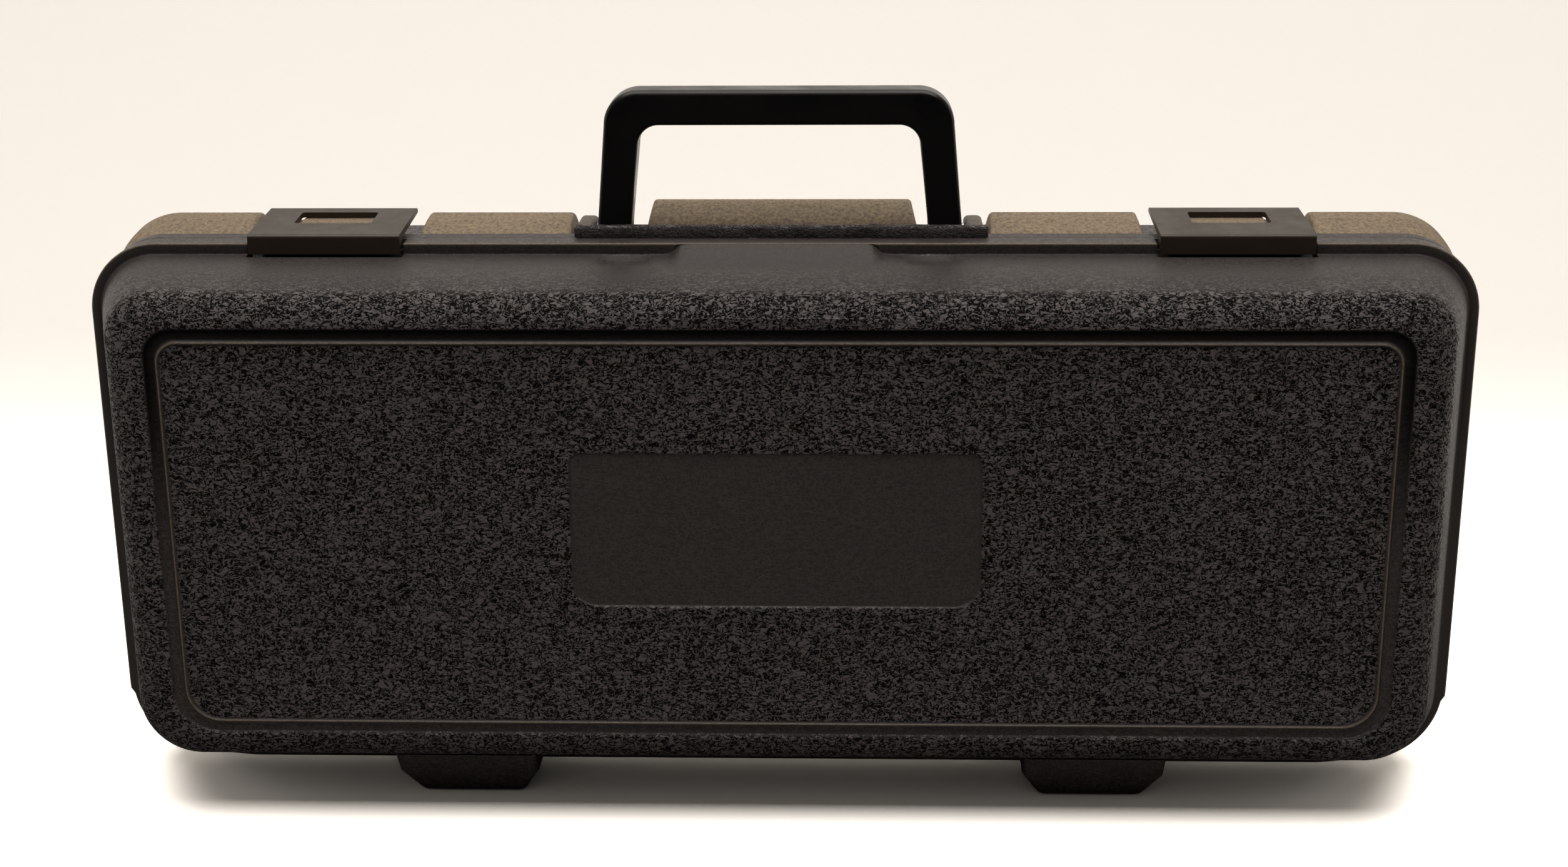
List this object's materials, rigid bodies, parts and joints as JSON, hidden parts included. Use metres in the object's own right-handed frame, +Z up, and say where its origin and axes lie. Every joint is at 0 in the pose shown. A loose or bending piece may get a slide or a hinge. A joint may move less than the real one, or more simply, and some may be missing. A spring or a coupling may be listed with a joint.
{
  "type": "clarinet case",
  "caption": "Moulded hard case for a clarinet, with a hinged lid, lever latches, a fold-down handle and a lining shaped to the instrument's joints.",
  "frame": {"origin": "on the floor under the middle of the case, on the plane where the two halves meet", "axes": "+X along the case's length, -Y out of the lid's flat face, +Z up from the feet to the handle"},
  "size_m": [0.396, 0.0922, 0.205],
  "materials": {
    "shell": "grained",
    "handle": "satin",
    "latch": "satin",
    "pin": "drawn",
    "lining": "plush"
  },
  "bodies": {
    "base": {"base_shell": "shell", "tray_left": "lining", "tray_middle": "lining", "tray_right": "lining", "hinge_pin_left": "pin", "hinge_pin_right": "pin", "handle_pin_left": "pin", "handle_pin_right": "pin"},
    "lid": {"lid_shell": "shell", "lid_liner": "lining", "lid_pad": "lining", "latch_pin_left": "pin", "latch_pin_right": "pin"},
    "latch_left": {"latch_left": "latch"},
    "latch_right": {"latch_right": "latch"},
    "handle": {"handle": "handle"}
  },
  "joints": [
    {"name": "lid_hinge", "type": "hinge", "parent": "base", "child": "lid", "pos_m": [0, 0, 0.0033], "axis": [1, 0, 0], "range_deg": [0, 115]},
    {"name": "latch_left_hinge", "type": "hinge", "parent": "lid", "child": "latch_left", "pos_m": [-0.129, -0.006, 0.1619], "axis": [1, 0, 0], "range_deg": [0, 62]},
    {"name": "latch_right_hinge", "type": "hinge", "parent": "lid", "child": "latch_right", "pos_m": [0.129, -0.006, 0.1619], "axis": [1, 0, 0], "range_deg": [0, 62]},
    {"name": "handle_hinge", "type": "hinge", "parent": "base", "child": "handle", "pos_m": [0, 0.011, 0.1639], "axis": [1, 0, 0], "range_deg": [-88, 0]}
  ]
}
